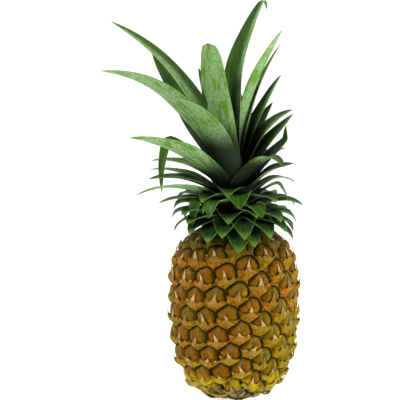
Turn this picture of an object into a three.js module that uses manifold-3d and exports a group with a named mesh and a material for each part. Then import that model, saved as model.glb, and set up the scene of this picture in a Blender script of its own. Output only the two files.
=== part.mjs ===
import * as THREE from 'three';
import { mergeVertices } from 'three/addons/utils/BufferGeometryUtils.js';
import { ConvexHull } from 'three/addons/math/ConvexHull.js';
import Module from 'manifold-3d';

const wasm = await Module();
wasm.setup();

// A pineapple standing on its cut stalk end, millimetres, +Z up, the viewer at -Y.
// Azimuths are in degrees, 0 towards the viewer and growing to the viewer's right.

// Barrel of the fruit: a superellipse turned about the axis and cut flat at z = 0.
const BARREL_R = 60.3;
const BARREL_MID_Z = 95;
const BARREL_ABOVE = 72;
const BARREL_BELOW = 98;
const BARREL_POWER = 2.8;

// Eyes: one berry each, on the golden-angle spiral, each with the same share of rind.
const GOLDEN_ANGLE = 137.508;
const EYE_AREA = 400;
const FIRST_EYE_AZ = 26;
const EYE_TWIST = 9;
const EYE_RISE = 5;
const EYE_ROW_TILT = 17;
const EYE_ROW_TILT_AZ = 135;
const EYE_ROW_WAVE = -4;
const EYE_ROW_WAVE_AZ = 45;
const GROOVE_DEPTH = 3.2;
const EYE_RIM = 0.82;
const EYE_DOME = 1.9;
const SPINE_LIFT = 5.2;
const SPINE_REACH = 7.5;

// Crown: a short stem let into the top of the fruit, with all its leaves.
const STEM_R = 20;
const STEM_TOP_Z = 240;
const STEM_TAPER = 70;
const STEM_FOOT_R = 18.7;
const STEM_FOOT_Z = 160.3;
const LEAF_MID_THICK = 1.6;
const LEAF_EDGE_THICK = 0.7;
const LEAF_CUP = 38;
const BACK_COLLAR = 18;

// Room kept over the shoulder of the fruit, so that hanging leaves lie clear of it.
const SHOULDER_R = 65.2;
const SHOULDER_ABOVE = 75.4;

// Cut end of the fruit stalk, in a recess of the base.
const STALK_R = 14.2;
const STALK_H = 12;
const GAP = 0.3;

const rad = (d) => (d * Math.PI) / 180;
const clamp = (x, a, b) => Math.min(b, Math.max(a, x));
const smooth = (x) => {
  const t = clamp(x, 0, 1);
  return t * t * (3 - 2 * t);
};
const frac = (x) => x - Math.floor(x);
// One steady draw between 0 and 1 for item n, kind k.
const draw = (n, k) => frac(Math.sin(n * 12.9898 + k * 78.233) * 43758.5453);

function toManifold(positions, triangles) {
  const mesh = new wasm.Mesh({
    numProp: 3,
    vertProperties: new Float32Array(positions),
    triVerts: new Uint32Array(triangles),
  });
  mesh.merge();
  return new wasm.Manifold(mesh);
}

function geometryToManifold(geometry) {
  geometry.deleteAttribute('normal');
  geometry.deleteAttribute('uv');
  const merged = mergeVertices(geometry, 1e-4);
  return toManifold(merged.attributes.position.array, merged.index.array);
}

function toMesh(solid, name, colour, roughness) {
  const raw = solid.getMesh();
  const geometry = new THREE.BufferGeometry();
  const positions = new Float32Array(raw.numVert * 3);
  for (let i = 0; i < raw.numVert; i += 1) {
    positions[3 * i] = raw.vertProperties[i * raw.numProp];
    positions[3 * i + 1] = raw.vertProperties[i * raw.numProp + 1];
    positions[3 * i + 2] = raw.vertProperties[i * raw.numProp + 2];
  }
  geometry.setAttribute('position', new THREE.BufferAttribute(positions, 3));
  geometry.setIndex(new THREE.BufferAttribute(new Uint32Array(raw.triVerts), 1));
  geometry.computeVertexNormals();
  const material = new THREE.MeshStandardMaterial({ color: colour, roughness, metalness: 0 });
  const mesh = new THREE.Mesh(geometry, material);
  mesh.name = name;
  return mesh;
}

function lathe(profile, segments) {
  const points = profile.map(([r, z]) => new THREE.Vector2(r, z));
  const geometry = new THREE.LatheGeometry(points, segments);
  geometry.rotateX(Math.PI / 2);
  return geometryToManifold(geometry);
}

// The barrel as a table along its outline, from the lower pole to the upper one:
// arc length, radius, height, outward direction, area so far and map latitude.
function barrelTable() {
  const steps = 1200;
  const rows = [];
  for (let i = 0; i <= steps; i += 1) {
    const a = -Math.PI / 2 + (Math.PI * i) / steps;
    const half = a < 0 ? BARREL_BELOW : BARREL_ABOVE;
    const r = BARREL_R * Math.pow(Math.abs(Math.cos(a)), 2 / BARREL_POWER);
    const h = Math.sign(a) * half * Math.pow(Math.abs(Math.sin(a)), 2 / BARREL_POWER);
    rows.push({ s: 0, r: i === 0 || i === steps ? 0 : r, z: BARREL_MID_Z + h, area: 0, q: 0 });
  }
  for (let i = 1; i <= steps; i += 1) {
    const ds = Math.hypot(rows[i].r - rows[i - 1].r, rows[i].z - rows[i - 1].z);
    const rm = Math.max((rows[i].r + rows[i - 1].r) / 2, 1e-3);
    rows[i].s = rows[i - 1].s + ds;
    rows[i].area = rows[i - 1].area + 2 * Math.PI * rm * ds;
    rows[i].q = rows[i - 1].q + ds / rm;
  }
  const middle = rows.find((row) => row.z >= BARREL_MID_Z).q;
  rows.forEach((row) => {
    row.q -= middle;
  });
  return rows;
}

const BARREL = barrelTable();
const OUTLINE_LENGTH = BARREL[BARREL.length - 1].s;
const BARREL_AREA = BARREL[BARREL.length - 1].area;

// Row of the table at a value of one of its columns, between its two neighbours.
function barrelAt(key, value) {
  let lo = 0;
  let hi = BARREL.length - 1;
  while (hi - lo > 1) {
    const mid = (lo + hi) >> 1;
    if (BARREL[mid][key] <= value) {
      lo = mid;
    } else {
      hi = mid;
    }
  }
  const a = BARREL[lo];
  const b = BARREL[hi];
  const f = clamp((value - a[key]) / Math.max(b[key] - a[key], 1e-9), 0, 1);
  const mix = (k) => a[k] + (b[k] - a[k]) * f;
  const len = Math.max(Math.hypot(b.z - a.z, b.r - a.r), 1e-9);
  const nr = (b.z - a.z) / len;
  const nz = (a.r - b.r) / len;
  return { s: mix('s'), r: mix('r'), z: mix('z'), q: mix('q'), nr, nz };
}

// Point of the rind at an arc length and azimuth, raised by a lift.
function rindPoint(s, az, lift) {
  const row = barrelAt('s', clamp(s, 0, OUTLINE_LENGTH));
  const r = Math.max(row.r + row.nr * lift, 0);
  return [r * Math.sin(az), -r * Math.cos(az), row.z + row.nz * lift];
}

// Centres of the eyes: equal shares of area along the spiral. The rows are then tilted,
// waved and twisted a little, as on a fruit that grew faster on one side.
function eyeCentres() {
  const count = Math.floor(BARREL_AREA / EYE_AREA) + 1;
  const eyes = [];
  for (let n = 0; n < count; n += 1) {
    const az0 = rad(n * GOLDEN_ANGLE + FIRST_EYE_AZ);
    const s0 = barrelAt('area', (n + 0.5) * EYE_AREA).s;
    const middle = Math.sin((Math.PI * s0) / OUTLINE_LENGTH);
    const tilt = EYE_ROW_TILT * Math.cos(az0 + rad(EYE_ROW_TILT_AZ));
    const wave = EYE_ROW_WAVE * Math.cos(2 * az0 + rad(EYE_ROW_WAVE_AZ));
    const s = clamp(s0 + (EYE_RISE + tilt + wave) * middle, 2, OUTLINE_LENGTH - 2);
    const az = az0 + rad(EYE_TWIST) * ((2 * s0) / OUTLINE_LENGTH - 1);
    eyes.push({ n, az, s, row: barrelAt('s', s) });
  }
  return eyes;
}

function toGlobe(q, az) {
  const lat = 2 * Math.atan(Math.exp(clamp(q, -12, 12))) - Math.PI / 2;
  return new THREE.Vector3(Math.cos(lat) * Math.sin(az), -Math.cos(lat) * Math.cos(az), Math.sin(lat));
}

function fromGlobe(v) {
  const lat = Math.asin(clamp(v.z, -1, 1));
  const q = Math.log(Math.tan(lat / 2 + Math.PI / 4));
  return { s: barrelAt('q', q).s, az: Math.atan2(v.x, -v.y) };
}

// Corners where three eyes meet: the eyes go on a globe by a map that keeps angles,
// and the faces of their hull give the corners, listed in order round each eye.
function eyeCells(eyes) {
  const points = eyes.map((eye) => toGlobe(eye.row.q, eye.az));
  const number = new Map(points.map((point, i) => [point, i]));
  const hull = new ConvexHull().setFromPoints(points);
  const corners = [];
  const around = eyes.map(() => []);
  hull.faces.forEach((face) => {
    const corner = corners.length;
    corners.push(fromGlobe(face.normal.clone()));
    let edge = face.edge;
    do {
      around[number.get(edge.head().point)].push(corner);
      edge = edge.next;
    } while (edge !== face.edge);
  });
  return { corners, around };
}

function shorterTurn(a) {
  return Math.atan2(Math.sin(a), Math.cos(a));
}

// One eye: groove corners, rim, domed berry, and the bract rising to a bent spine.
function addEye(eye, corners, ring, cornerIndex, positions, triangles) {
  const { az, s, row } = eye;
  const radius = Math.max(row.r, 6);
  const local = ring.map((c) => {
    const across = shorterTurn(corners[c].az - az) * radius;
    const up = corners[c].s - s;
    return { c, across, up, turn: Math.atan2(up, across) };
  });
  local.sort((a, b) => a.turn - b.turn);
  const height = Math.max(...local.map((p) => p.up)) - Math.min(...local.map((p) => p.up));
  const vigour = smooth((158 - row.z) / 20) * smooth((row.z - 2) / 20);
  const add = (across, up, lift) => {
    positions.push(...rindPoint(s + up, az + across / radius, lift));
    return positions.length / 3 - 1;
  };
  const rim = local.map((p) => add(p.across * EYE_RIM, p.up * EYE_RIM, -0.3));
  const bend = (draw(eye.n, 5) - 0.5) * 2.4;
  const lift = 1.2 + (SPINE_LIFT - 1.2) * vigour;
  const spine = [
    [3.2, -0.1 * height, EYE_DOME],
    [0, 0.2 * height, EYE_DOME * 0.7],
    [-3.2, -0.1 * height, EYE_DOME],
    [0, -0.3 * height, EYE_DOME * 0.6],
  ];
  const core = spine.map((p) => add(p[0], p[1], p[2]));
  const coreTurns = spine.map((p) => Math.atan2(p[1], p[0]));
  const tip = add(bend, SPINE_REACH * (0.35 + 0.65 * vigour), lift);
  const count = local.length;
  for (let i = 0; i < count; i += 1) {
    const j = (i + 1) % count;
    const a = cornerIndex[local[i].c];
    const b = cornerIndex[local[j].c];
    triangles.push(a, b, rim[j]);
    triangles.push(a, rim[j], rim[i]);
  }
  stitch(local.map((p) => p.turn), rim, coreTurns, core, triangles);
  for (let i = 0; i < 4; i += 1) {
    triangles.push(core[i], core[(i + 1) % 4], tip);
  }
}

// Band of triangles between two closed loops, both in turning order.
function stitch(outerTurns, outer, innerTurns, inner, triangles) {
  const start = -Math.PI;
  const wrap = (t) => ((((t - start) % (2 * Math.PI)) + 2 * Math.PI) % (2 * Math.PI)) + start;
  const byTurn = (a, b) => a.t - b.t;
  const o = outerTurns.map((t, i) => ({ t: wrap(t), v: outer[i] })).sort(byTurn);
  const n = innerTurns.map((t, i) => ({ t: wrap(t), v: inner[i] })).sort(byTurn);
  let i = 0;
  let j = 0;
  while (i < o.length || j < n.length) {
    const nextO = i < o.length ? o[(i + 1) % o.length].t + (i + 1 >= o.length ? 2 * Math.PI : 0) : 99;
    const nextN = j < n.length ? n[(j + 1) % n.length].t + (j + 1 >= n.length ? 2 * Math.PI : 0) : 99;
    const ov = o[i % o.length].v;
    const nv = n[j % n.length].v;
    if (nextO <= nextN) {
      triangles.push(ov, o[(i + 1) % o.length].v, nv);
      i += 1;
    } else {
      triangles.push(ov, n[(j + 1) % n.length].v, nv);
      j += 1;
    }
  }
}

function buildFruit() {
  const eyes = eyeCentres();
  const { corners, around } = eyeCells(eyes);
  const positions = [];
  const triangles = [];
  const cornerIndex = corners.map((corner) => {
    const z = barrelAt('s', corner.s).z;
    const shallow = 0.45 + 0.55 * smooth((160 - z) / 14);
    positions.push(...rindPoint(corner.s, corner.az, -GROOVE_DEPTH * shallow));
    return positions.length / 3 - 1;
  });
  eyes.forEach((eye, i) => {
    addEye(eye, corners, around[i], cornerIndex, positions, triangles);
  });
  let body = toManifold(positions, triangles);
  body = body.trimByPlane([0, 0, 1], 0);
  const recess = lathe(
    [[0, -5], [STALK_R + GAP, -5], [STALK_R + GAP, STALK_H + GAP], [0, STALK_H + GAP]],
    32,
  );
  const socket = lathe(
    [[0, STEM_FOOT_Z - GAP], [STEM_FOOT_R + GAP, STEM_FOOT_Z - GAP], [STEM_FOOT_R + GAP, 190], [0, 190]],
    32,
  );
  return body.subtract(recess).subtract(socket);
}

// Leaves that can be told apart in the view, each by hand: azimuth, height of its foot
// on the stem, length, width, lean from upright along its length, roll, a fold (place
// along the leaf, angle, how spread), and for a blunt tip the power of its taper.
const NAMED_LEAVES = [
  { az: -44, foot: 204, L: 140, W: 42, lean: [26, 16, 10, 6, 14], blunt: 0.3 },
  { az: 122, foot: 212, L: 186, W: 40, lean: [-12, 8, 40], fold: [0.95, 125, 0.03] },
  { az: -78, foot: 206, L: 196, W: 29, lean: [12, 35, 62], roll: 25 },
  { az: -62, foot: 206, L: 181, W: 34, lean: [22, 48, 86], roll: 20 },
  { az: -42, foot: 199, L: 126, W: 39, lean: [17, 34, 78] },
  { az: -118, foot: 204, L: 150, W: 40, lean: [36, 34, 34], roll: -10 },
  { az: -152, foot: 206, L: 128, W: 24, lean: [28, 30, 40] },
  { az: 175, foot: 212, L: 95, W: 30, lean: [8, 20, 50] },
  { az: 78, foot: 210, L: 149, W: 30, lean: [0, 14, 34], roll: -20 },
  { az: 100, foot: 208, L: 138, W: 22, lean: [2, 15, 34] },
  { az: 92, foot: 206, L: 112, W: 24, lean: [2, 21, 34], roll: 25 },
  { az: 120, foot: 204, L: 88, W: 26, lean: [6, 26, 40], roll: 10 },
  { az: 80, foot: 200, L: 96, W: 28, lean: [8, 27, 70], roll: 30 },
  { az: 92, foot: 198, L: 90, W: 26, lean: [16, 34, 46], roll: 25 },
  { az: 105, foot: 194, L: 82, W: 24, lean: [28, 42, 46], roll: 15, fold: [0.84, -45, 0.06] },
  { az: 62, foot: 187, L: 70, W: 26, lean: [24, 50, 86], roll: 20 },
  { az: 50, foot: 192, L: 74, W: 36, lean: [14, 34, 66, 150] },
  { az: 112, foot: 187, L: 64, W: 20, lean: [44, 64, 130] },
  { az: 76, foot: 184, L: 58, W: 18, lean: [40, 60, 100], fold: [0.7, 60, 0.1] },
  { az: 84, foot: 176, L: 60, W: 26, lean: [50, 76, 122], roll: 10 },
  { az: 105, foot: 173, L: 50, W: 22, lean: [62, 84, 112] },
  { az: 70, foot: 170, L: 50, W: 24, lean: [66, 88, 124] },
  { az: -60, foot: 196, L: 123, W: 36, lean: [37, 60, 86], roll: 20 },
  { az: -76, foot: 200, L: 124, W: 25, lean: [40, 54, 76], roll: -18, fold: [0.6, 106, 0.1] },
  { az: -82, foot: 196, L: 84, W: 22, lean: [36, 64, 100], roll: 20 },
  { az: -74, foot: 190, L: 82, W: 26, lean: [48, 72, 102], roll: -10 },
  { az: -66, foot: 182, L: 97, W: 28, lean: [48, 78, 112], roll: 10 },
  { az: -74, foot: 180, L: 68, W: 24, lean: [56, 80, 112] },
  { az: -50, foot: 178, L: 62, W: 24, lean: [56, 76, 96], fold: [0.62, 76, 0.1] },
  { az: -26, foot: 181, L: 58, W: 28, lean: [50, 80, 130], fold: [0.75, 40, 0.1] },
  { az: 4, foot: 186, L: 50, W: 34, lean: [34, 84, 150] },
  { az: 24, foot: 178, L: 54, W: 32, lean: [56, 80, 140] },
  { az: 163, foot: 200, L: 100, W: 32, lean: [22, 44, 74] },
  { az: -172, foot: 196, L: 105, W: 30, lean: [30, 52, 84] },
  { az: 138, foot: 192, L: 86, W: 28, lean: [36, 56, 90] },
  { az: -142, foot: 190, L: 92, W: 30, lean: [36, 58, 92] },
  { az: -108, foot: 186, L: 86, W: 28, lean: [44, 66, 100] },
];

// Short leaves of the collar at the front, each set by its hanging tip: angle round the stem,
// distance and height of the tip, width, and how far the tip hangs below the bend.
const FRONT_COLLAR = [
  [-10, 42, 197, 30, 9], [-36, 53, 193, 30, 7], [45, 53, 192, 30, 7], [-8, 49, 173, 32, 10],
  [22, 52, 179, 30, 8], [46, 59, 174, 32, 9], [-39, 48, 181, 20, 15], [-53, 62, 180, 28, 6],
  [9, 54, 159, 34, 11], [-48, 60, 172, 28, 6], [34, 58, 160, 32, 9], [52, 60, 164, 28, 7],
  [-13, 56, 161, 30, 8], [-28, 56, 156, 32, 7], [3, 58, 148, 34, 8], [18, 57, 153, 28, 7],
  [-46, 60, 163, 28, 6],
];

function hangingLeaf([az, tipR, tipZ, W, hang]) {
  const foot = Math.max(tipZ - 3, 169 + 0.12 * (tipZ - 148));
  return { az, foot, tip: [tipR, tipZ], W, hang };
}

// The collar: the front leaves, then three even rows round the sides and the back.
function collarLeaves() {
  const leaves = FRONT_COLLAR.map(hangingLeaf);
  for (let i = 0; i < BACK_COLLAR; i += 1) {
    const row = i % 3;
    const a = draw(i, 1) - 0.5;
    const b = draw(i, 2) - 0.5;
    const c = draw(i, 3) - 0.5;
    const az = 72 + 38 * Math.floor(i / 3) + 12.7 * row + 6 * a;
    leaves.push(hangingLeaf([az, 60 + 5 * c, [157, 170, 184][row] + 6 * b, 28 + 4 * b, 10 + 6 * a]));
  }
  return leaves;
}

// Smooth curve through evenly spaced values.
function spline(values, t) {
  const n = values.length - 1;
  const x = clamp(t, 0, 1) * n;
  const i = Math.min(Math.floor(x), n - 1);
  const f = x - i;
  const get = (k) => {
    if (k < 0) {
      return 2 * values[0] - values[1];
    }
    return k > n ? 2 * values[n] - values[n - 1] : values[k];
  };
  const [a, b, c, d] = [get(i - 1), get(i), get(i + 1), get(i + 2)];
  const f2 = f * f;
  const f3 = f2 * f;
  return 0.5 * (2 * b + (c - a) * f + (2 * a - 5 * b + 4 * c - d) * f2 + (3 * b - a - 3 * c + d) * f3);
}

const stemRadius = (z) => STEM_R * Math.pow(clamp((STEM_TOP_Z - z) / STEM_TAPER, 0.05, 1), 0.8);
const leafHalfWidth = (leaf, t) => {
  const taper = Math.pow(Math.max(1 - Math.pow(t, 2.2), 0), leaf.blunt || 0.8);
  let shape = taper * (0.5 + 0.5 * Math.min(1, t / 0.18));
  if (leaf.tip) {
    shape = Math.max(1 - Math.pow(t, 2.4), 0) * (0.2 + 0.8 * Math.min(1, t / 0.45));
  }
  return Math.max((leaf.W / 2) * shape, 0.5);
};

// Lean from the vertical, and pace along the leaf, at a place along it.
function leafArch(leaf, t) {
  if (leaf.tip) {
    const from = [stemRadius(leaf.foot) * 0.6, leaf.foot];
    const first = [from[0] + 0.45 * (leaf.tip[0] - from[0]), leaf.foot + 0.8 * leaf.hang];
    const second = [leaf.tip[0] - 2.5, leaf.tip[1] + 1.5 * leaf.hang];
    const m = 1 - t;
    const slope = [0, 1].map((k) => 3 * (m * m * (first[k] - from[k])
      + 2 * m * t * (second[k] - first[k]) + t * t * (leaf.tip[k] - second[k])));
    return { lean: Math.atan2(slope[0], slope[1]), pace: Math.hypot(slope[0], slope[1]) };
  }
  let lean = spline(leaf.lean, t);
  if (leaf.fold) {
    lean += leaf.fold[1] * smooth((t - leaf.fold[0]) / leaf.fold[2] + 0.5);
  }
  return { lean: rad(lean), pace: leaf.L };
}

// Lifts a point of a leaf out of the room kept over the shoulder.
function clearOfShoulder(p) {
  const r = Math.hypot(p.x, p.y);
  const h = Math.max(p.z - BARREL_MID_Z, 0);
  const sum = Math.pow(r / SHOULDER_R, BARREL_POWER) + Math.pow(h / SHOULDER_ABOVE, BARREL_POWER);
  const f = Math.pow(sum, 1 / BARREL_POWER);
  if (f < 1) {
    p.set(p.x / f, p.y / f, BARREL_MID_Z + h / f);
  }
  return p;
}

// Middle line of a leaf with the directions across it and out of its upper face.
function leafFrames(leaf, stations) {
  const steps = 96;
  const up = new THREE.Vector3(0, 0, 1);
  const az = rad(leaf.az);
  const out = new THREE.Vector3(Math.sin(az), -Math.cos(az), 0);
  const side = new THREE.Vector3(Math.cos(az), Math.sin(az), 0);
  const frames = [];
  const place = new THREE.Vector3();
  let before = null;
  for (let i = 0; i <= steps; i += 1) {
    const t = i / steps;
    const { lean: th, pace } = leafArch(leaf, t);
    const along = out.clone().multiplyScalar(Math.sin(th)).addScaledVector(up, Math.cos(th));
    const face = out.clone().multiplyScalar(-Math.cos(th)).addScaledVector(up, Math.sin(th));
    if (i === 0) {
      place.copy(out).multiplyScalar(stemRadius(leaf.foot) * 0.6).addScaledVector(up, leaf.foot);
    } else {
      place.add(before).addScaledVector(along, pace / steps / 2);
    }
    before = along.clone().multiplyScalar(pace / steps / 2);
    const roll = rad(leaf.roll || 0) * smooth(t / 0.5);
    const across = side.clone().multiplyScalar(Math.cos(roll)).addScaledVector(face, Math.sin(roll));
    const normal = face.clone().multiplyScalar(Math.cos(roll)).addScaledVector(side, -Math.sin(roll));
    frames.push({ t, c: clearOfShoulder(place.clone()), across, normal });
  }
  return stations.map((t) => frames[Math.round(clamp(t, 0, 1) * steps)]);
}

// One leaf as a thin closed blade, thicker along the middle than at its two margins.
function buildLeaf(leaf) {
  let stations = [0, 0.3, 0.58, 0.82, 1];
  if (leaf.L > 74) {
    stations = [0, 0.2, 0.4, 0.6, 0.8, 1];
  }
  if (leaf.L > 115) {
    stations = [0, 0.16, 0.32, 0.48, 0.62, 0.75, 0.86, 0.94, 1];
  }
  if (leaf.tip) {
    stations = [0, 0.3, 0.58, 0.8, 1];
  }
  if (leaf.blunt) {
    stations = [0, 0.16, 0.32, 0.48, 0.62, 0.72, 0.79, 0.85, 0.91, 0.95, 0.98, 1];
  }
  if (leaf.fold) {
    const [at, , spread] = leaf.fold;
    const near = [at - spread / 2, at, at + spread / 2];
    stations = stations.filter((t) => near.every((f) => Math.abs(f - t) > 0.03 || t === 1));
    stations = stations.concat(near).sort((a, b) => a - b);
  }
  const positions = [];
  const triangles = [];
  const put = (v) => positions.push(v.x, v.y, v.z);
  leafFrames(leaf, stations).forEach(({ t, c, across, normal }) => {
    const half = leafHalfWidth(leaf, t);
    const cup = rad((LEAF_CUP + 37 * (1 - smooth(t / 0.2))) * (1 - 0.7 * t * t));
    const reach = (half * Math.sin(cup)) / cup;
    const rise = (half * (1 - Math.cos(cup))) / cup;
    const mid = (LEAF_MID_THICK * (1 - 0.4 * t)) / 2;
    const edge = LEAF_EDGE_THICK / 2;
    const left = c.clone().addScaledVector(across, -reach).addScaledVector(normal, rise);
    const right = c.clone().addScaledVector(across, reach).addScaledVector(normal, rise);
    put(left.clone().addScaledVector(normal, edge));
    put(c.clone().addScaledVector(normal, mid));
    put(right.clone().addScaledVector(normal, edge));
    put(right.clone().addScaledVector(normal, -edge));
    put(c.clone().addScaledVector(normal, -mid));
    put(left.clone().addScaledVector(normal, -edge));
  });
  const rings = positions.length / 18;
  for (let i = 0; i + 1 < rings; i += 1) {
    for (let j = 0; j < 6; j += 1) {
      const a = 6 * i + j;
      const b = 6 * i + ((j + 1) % 6);
      triangles.push(a, b, b + 6);
      triangles.push(a, b + 6, a + 6);
    }
  }
  const last = 6 * (rings - 1);
  [[0, 5, 4], [0, 4, 1], [1, 4, 3], [1, 3, 2]].forEach(([a, b, c]) => {
    triangles.push(a, b, c);
    triangles.push(last + a, last + c, last + b);
  });
  let blade = toManifold(positions, triangles);
  if (blade.volume() < 0) {
    blade = toManifold(positions, flipped(triangles));
  }
  return blade;
}

function flipped(triangles) {
  const out = [];
  for (let i = 0; i < triangles.length; i += 3) {
    out.push(triangles[i], triangles[i + 2], triangles[i + 1]);
  }
  return out;
}

function buildCrown() {
  const profile = [[0, STEM_FOOT_Z], [STEM_FOOT_R, STEM_FOOT_Z], [STEM_FOOT_R, 168]];
  for (let z = 174; z < STEM_TOP_Z - 4; z += 12) {
    profile.push([stemRadius(z) * 0.94, z]);
  }
  profile.push([0, STEM_TOP_Z - 2]);
  const stem = lathe(profile, 20);
  return NAMED_LEAVES.concat(collarLeaves()).reduce(joinLeaf, stem);
}

// True when every edge of a solid still has just one face on each side of it after
// vertices closer than a tolerance are made one.
function staysClosed(solid, tolerance) {
  const raw = solid.getMesh();
  const geometry = new THREE.BufferGeometry();
  geometry.setAttribute('position', new THREE.BufferAttribute(raw.vertProperties, 3));
  geometry.setIndex(new THREE.BufferAttribute(raw.triVerts, 1));
  const index = mergeVertices(geometry, tolerance).index.array;
  const seen = new Set();
  for (let i = 0; i < index.length; i += 3) {
    const face = [index[i], index[i + 1], index[i + 2]];
    if (new Set(face).size === 3) {
      for (let k = 0; k < 3; k += 1) {
        const key = face[k] * 1e6 + face[(k + 1) % 3];
        if (seen.has(key)) {
          return false;
        }
        seen.add(key);
      }
    }
  }
  return true;
}

// Joins a leaf to the crown. A pocket closed between leaf bases is taken as solid leaf.
// A leaf that only grazes another is turned or shifted a little on the stem.
function joinLeaf(crown, leaf) {
  for (let n = 0; n < 24; n += 1) {
    const turn = 0.35 * n * (n % 2 ? 1 : -1);
    const shift = 0.4 * (n % 5) - 0.8 * (n > 0);
    const joined = crown.add(buildLeaf({ ...leaf, az: leaf.az + turn, foot: leaf.foot + shift }));
    const body = joined.decompose().sort((a, b) => b.volume() - a.volume())[0];
    if (staysClosed(body, 1e-3) && staysClosed(body, 1e-4)) {
      return body;
    }
  }
  return crown;
}

function buildStalk() {
  return lathe([[0, 0], [STALK_R - 0.8, 0], [STALK_R, 0.8], [STALK_R, STALK_H], [0, STALK_H]], 32);
}

const group = new THREE.Group();
group.name = 'pineapple';
group.add(toMesh(buildFruit(), 'fruit', 0x9c6b25, 0.6));
group.add(toMesh(buildCrown(), 'crown', 0x4f7a35, 0.5));
group.add(toMesh(buildStalk(), 'stalk', 0xb9a070, 0.8));

export default group;
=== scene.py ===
# %% [markdown]
# A whole ripe pineapple, dressed over its measured frame.
# The frame gives three plain solids: the fruit, its leafy crown and the cut stalk end.
# This lesson keeps their places and sizes and gives each the surface of the real thing:
# a rind of some hundred and sixty eyes with their dry bracts and spines, and a crown of
# long, channelled leaves with a waxy bloom underneath.

# %% Load the frame
import math

import bpy
import numpy as np
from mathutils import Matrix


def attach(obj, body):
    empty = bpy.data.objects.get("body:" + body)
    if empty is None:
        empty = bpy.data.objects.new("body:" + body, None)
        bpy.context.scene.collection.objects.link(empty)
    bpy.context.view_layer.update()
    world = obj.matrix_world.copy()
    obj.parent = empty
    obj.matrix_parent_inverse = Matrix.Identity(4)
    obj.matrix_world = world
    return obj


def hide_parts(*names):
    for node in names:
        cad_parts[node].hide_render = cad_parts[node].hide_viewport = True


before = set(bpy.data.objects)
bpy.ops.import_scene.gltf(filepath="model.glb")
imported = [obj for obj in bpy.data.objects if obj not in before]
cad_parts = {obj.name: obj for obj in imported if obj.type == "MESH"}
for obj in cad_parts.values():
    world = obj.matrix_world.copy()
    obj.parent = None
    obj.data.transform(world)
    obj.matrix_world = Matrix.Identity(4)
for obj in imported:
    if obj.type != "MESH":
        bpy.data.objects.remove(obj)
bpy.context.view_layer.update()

# Points and patterns are in millimetres, of which CM has ten. MM turns them to metres.
MM, CM = 0.001, 10.0
scene = bpy.context.scene

# %% [markdown]
# The camera stands 1.2 m in front of the fruit, a little to its left and nearly as high as
# the tips of the leaves, so it looks down on the fruit by a few degrees. A long lens keeps the
# barrel's sides nearly parallel. Camera helpers could aim it, but three plain numbers say
# the same thing and never drift.

# %% Camera
CAMERA_PLACE = (-33 * MM, -1200 * MM, 350 * MM)
CAMERA_PITCH = 7.6
SENSOR = 36.0
FOCAL_PIXELS = 1256
IMAGE_WIDTH = 400

camera_data = bpy.data.cameras.new("camera")
camera_data.sensor_width = SENSOR
camera_data.lens = FOCAL_PIXELS / IMAGE_WIDTH * SENSOR
camera_data.clip_start = 0.05
camera = bpy.data.objects.new("camera", camera_data)
camera.location = CAMERA_PLACE
camera.rotation_euler = (math.radians(90 - CAMERA_PITCH), 0, 0)
scene.collection.objects.link(camera)
scene.camera = camera
print("lens, mm:", round(camera_data.lens, 1))

# %% [markdown]
# A living thing is regular but never exact. One steady draw, made from a sine, gives each
# eye and each leaf its own small differences, and gives the same ones on every run.

# %% Small tools for numbers
def draw(n, k):
    x = np.sin(np.asarray(n, float) * 12.9898 + k * 78.233) * 43758.5453
    return x - np.floor(x)


def smooth(x):
    x = np.clip(x, 0, 1)
    return x * x * (3 - 2 * x)


def bell(x, width, power=2.0):
    return np.exp(-((np.abs(x) / width) ** power))


def clouds(points, period, k):
    q = np.asarray(points, float) / period
    cell = np.floor(q)
    f = smooth(q - cell)
    total = np.zeros(q.shape[:-1])
    for corner in np.ndindex(2, 2, 2):
        c = cell + corner
        weight = np.prod(np.where(np.array(corner) == 1, f, 1 - f), axis=-1)
        total += weight * draw(c[..., 0] * 17 + c[..., 1] * 59 + c[..., 2] * 113, k)
    return 2 * total - 1


def spline(values, t):
    v = np.asarray(values, float)
    n = len(v) - 1
    x = np.clip(t, 0, 1) * n
    i = np.minimum(x.astype(int), n - 1)
    f = x - i
    p = np.concatenate([[2 * v[0] - v[1]], v, [2 * v[-1] - v[-2]]])
    a, b, c, d = p[i], p[i + 1], p[i + 2], p[i + 3]
    bend = (2 * a - 5 * b + 4 * c - d) * f**2 + (3 * b - a - 3 * c + d) * f**3
    return 0.5 * (2 * b + (c - a) * f + bend)


print("first draws:", [round(float(draw(n, 1)), 3) for n in range(4)])

# %% [markdown]
# Every piece here is a mesh made from numbers: points, faces, and a few values kept at the
# points, such as how far along its leaf a point lies. The materials read those values, so
# a colour can follow the plant and not the view. Modelling by hand would do for one leaf,
# but not for seventy leaves and a hundred and sixty eyes that all follow one rule.

# %% Small tools for meshes
def add_piece(name, points_mm, faces, values, material, grain_mm=None):
    mesh = bpy.data.meshes.new(name)
    points = np.asarray(points_mm, np.float32) * MM
    mesh.vertices.add(len(points))
    mesh.vertices.foreach_set("co", points.ravel())
    faces = np.asarray(faces, np.int32)
    starts = np.arange(0, faces.size, faces.shape[1], dtype=np.int32)
    mesh.loops.add(faces.size)
    mesh.loops.foreach_set("vertex_index", faces.ravel())
    mesh.polygons.add(len(faces))
    mesh.polygons.foreach_set("loop_start", starts)
    mesh.update(calc_edges=True)
    mesh.validate()
    for key, data in values.items():
        layer = mesh.attributes.new(key, "FLOAT", "POINT")
        layer.data.foreach_set("value", np.asarray(data, np.float32))
    if grain_mm is not None:
        loops = np.empty(len(mesh.loops), np.int32)
        mesh.loops.foreach_get("vertex_index", loops)
        layer = mesh.uv_layers.new(name="grain")
        layer.data.foreach_set("uv", np.asarray(grain_mm, np.float32)[loops].ravel())
    mesh.materials.append(material)
    mesh.shade_smooth()
    piece = bpy.data.objects.new(name, mesh)
    scene.collection.objects.link(piece)
    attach(piece, "root")
    print(name, len(points), "points,", len(faces), "faces")
    return piece


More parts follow.
